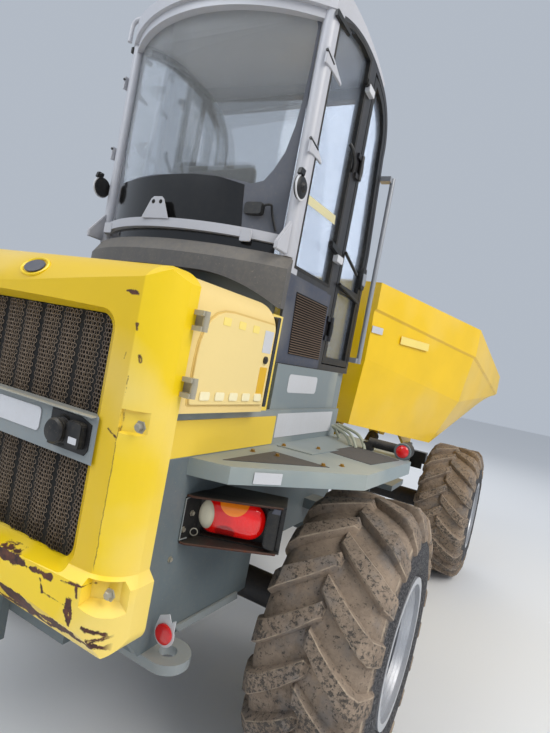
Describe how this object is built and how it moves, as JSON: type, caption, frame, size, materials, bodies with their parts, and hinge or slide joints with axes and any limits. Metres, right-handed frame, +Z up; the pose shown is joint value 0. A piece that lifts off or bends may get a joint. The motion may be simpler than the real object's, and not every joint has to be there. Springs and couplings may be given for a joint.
{
  "type": "articulated site dumper",
  "caption": "Site dumper with a glazed cab over the rear wheels, centre-pivot steering and a wide skip that tips forward over the front axle.",
  "frame": {"origin": "on the ground, under the centre of the machine's outline", "axes": "+Y forward towards the skip's lip, +X to the driver's right, +Z up"},
  "size_m": [2.43, 5.02, 3.2277],
  "materials": {
    "yellow_paint": "semi gloss, chipped",
    "pale_yellow_panel": "satin, sun faded",
    "chassis_grey": "satin, dusty",
    "axle_black": "matt",
    "mesh_dark": "matt, perforated",
    "cover_dark": "weathered",
    "vent_slate": "satin",
    "cab_grey": "satin",
    "black_plastic": "satin",
    "lamp_red": "clear gloss",
    "rail_steel": "satin",
    "glass_tint": "clear, dusty",
    "seat_fabric": "woven",
    "ram_chrome": "polished",
    "ram_paint": "gloss",
    "tyre_rubber": "muddy",
    "rim_silver": "satin silver"
  },
  "bodies": {
    "rear_frame": {"rear_chassis": "chassis_grey", "rear_axle": "axle_black", "engine_block": "axle_black", "rear_surround": "yellow_paint", "grille_panel": "mesh_dark", "grille_crossbar": "chassis_grey", "power_socket": "black_plastic", "hood_cover": "cover_dark", "hood_frame": "yellow_paint", "hood_top": "cover_dark", "side_skirts": "yellow_paint", "tail_lamp_housings": "black_plastic", "tail_lamp_lenses": "lamp_red", "tie_down_plates": "chassis_grey", "tow_hitch": "chassis_grey", "marker_lamps": "black_plastic", "access_steps": "chassis_grey", "cab_tub": "chassis_grey", "vent_panels": "vent_slate", "cab_frame": "cab_grey", "cab_roof": "cab_grey", "rear_window": "glass_tint", "windscreen": "glass_tint", "side_windows": "glass_tint", "seat": "seat_fabric", "steering_column": "black_plastic", "dashboard": "black_plastic", "grab_rails": "rail_steel", "rear_fender_right": "chassis_grey", "rear_fender_left": "chassis_grey"},
    "cab_door_right": {"cab_door_frame_right": "black_plastic", "cab_door_glass_right": "glass_tint"},
    "service_door_right": {"service_door_right": "pale_yellow_panel"},
    "cab_door_left": {"cab_door_frame_left": "black_plastic", "cab_door_glass_left": "glass_tint"},
    "service_door_left": {"service_door_left": "pale_yellow_panel"},
    "centre_knuckle": {"centre_knuckle": "chassis_grey"},
    "front_frame": {"front_chassis": "chassis_grey", "front_axle": "axle_black", "headlamps": "black_plastic"},
    "skip": {"skip_shell": "yellow_paint", "skip_ribs": "yellow_paint"},
    "tip_barrels": {"tip_barrels": "ram_paint"},
    "tip_rods": {"tip_rods": "ram_chrome"},
    "steer_barrel": {"steer_barrel": "ram_paint"},
    "steer_rod": {"steer_rod": "ram_chrome"},
    "wheel_rear_right": {"tyre_rear_right": "tyre_rubber", "rim_rear_right": "rim_silver"},
    "wheel_rear_left": {"tyre_rear_left": "tyre_rubber", "rim_rear_left": "rim_silver"},
    "wheel_front_right": {"tyre_front_right": "tyre_rubber", "rim_front_right": "rim_silver"},
    "wheel_front_left": {"tyre_front_left": "tyre_rubber", "rim_front_left": "rim_silver"}
  },
  "joints": [
    {"name": "cab_door_right_hinge", "type": "hinge", "parent": "rear_frame", "child": "cab_door_right", "pos_m": [0.562, -1.125, 2.4], "axis": [0, 0, -1], "range_deg": [0, 95]},
    {"name": "service_door_right_hinge", "type": "hinge", "parent": "rear_frame", "child": "service_door_right", "pos_m": [0.71, -2.327, 1.7], "axis": [0, 0, -1], "range_deg": [0, 100]},
    {"name": "cab_door_left_hinge", "type": "hinge", "parent": "rear_frame", "child": "cab_door_left", "pos_m": [-0.562, -1.125, 2.4], "axis": [0, 0, 1], "range_deg": [0, 95]},
    {"name": "service_door_left_hinge", "type": "hinge", "parent": "rear_frame", "child": "service_door_left", "pos_m": [-0.71, -2.327, 1.7], "axis": [0, 0, 1], "range_deg": [0, 100]},
    {"name": "articulation", "type": "hinge", "parent": "rear_frame", "child": "centre_knuckle", "pos_m": [0, 0.21, 0.75], "axis": [0, 0, 1], "range_deg": [-33, 33]},
    {"name": "frame_swing", "type": "hinge", "parent": "centre_knuckle", "child": "front_frame", "pos_m": [0, 0.21, 0.75], "axis": [0, 1, 0], "range_deg": [-15, 15]},
    {"name": "skip_tip", "type": "hinge", "parent": "front_frame", "child": "skip", "pos_m": [0, 1.98, 0.98], "axis": [-1, 0, 0], "range_deg": [0, 55]},
    {"name": "tip_ram_swing", "type": "hinge", "parent": "front_frame", "child": "tip_barrels", "pos_m": [0, 0.69, 0.72], "axis": [1, 0, 0], "range_deg": [-0.2, 4.49]},
    {"name": "tip_ram_stroke", "type": "slide", "parent": "tip_barrels", "child": "tip_rods", "axis": [0, 0.8321, 0.5547], "range_m": [-0.002, 0.5825]},
    {"name": "steer_ram_swing", "type": "hinge", "parent": "rear_frame", "child": "steer_barrel", "pos_m": [0.235, -0.31, 0.75], "axis": [0, 0, 1], "range_deg": [-2, 2]},
    {"name": "steer_ram_stroke", "type": "slide", "parent": "steer_barrel", "child": "steer_rod", "axis": [0, 1, 0], "range_m": [-0.131, 0.131]},
    {"name": "wheel_rear_right_spin", "type": "hinge", "parent": "rear_frame", "child": "wheel_rear_right", "pos_m": [0.965, -1.24, 0.585], "axis": [1, 0, 0], "continuous": true},
    {"name": "wheel_rear_left_spin", "type": "hinge", "parent": "rear_frame", "child": "wheel_rear_left", "pos_m": [-0.965, -1.24, 0.585], "axis": [1, 0, 0], "continuous": true},
    {"name": "wheel_front_right_spin", "type": "hinge", "parent": "front_frame", "child": "wheel_front_right", "pos_m": [0.965, 1.56, 0.585], "axis": [1, 0, 0], "continuous": true},
    {"name": "wheel_front_left_spin", "type": "hinge", "parent": "front_frame", "child": "wheel_front_left", "pos_m": [-0.965, 1.56, 0.585], "axis": [1, 0, 0], "continuous": true}
  ],
  "couplings": [
    {"joint": "tip_ram_swing", "follows": "skip_tip", "ratio": 0.07791},
    {"joint": "tip_ram_stroke", "follows": "skip_tip", "m_per_rad": 0.6026},
    {"joint": "steer_ram_swing", "follows": "articulation", "ratio": -0.03296},
    {"joint": "steer_ram_stroke", "follows": "articulation", "m_per_rad": 0.2216}
  ]
}
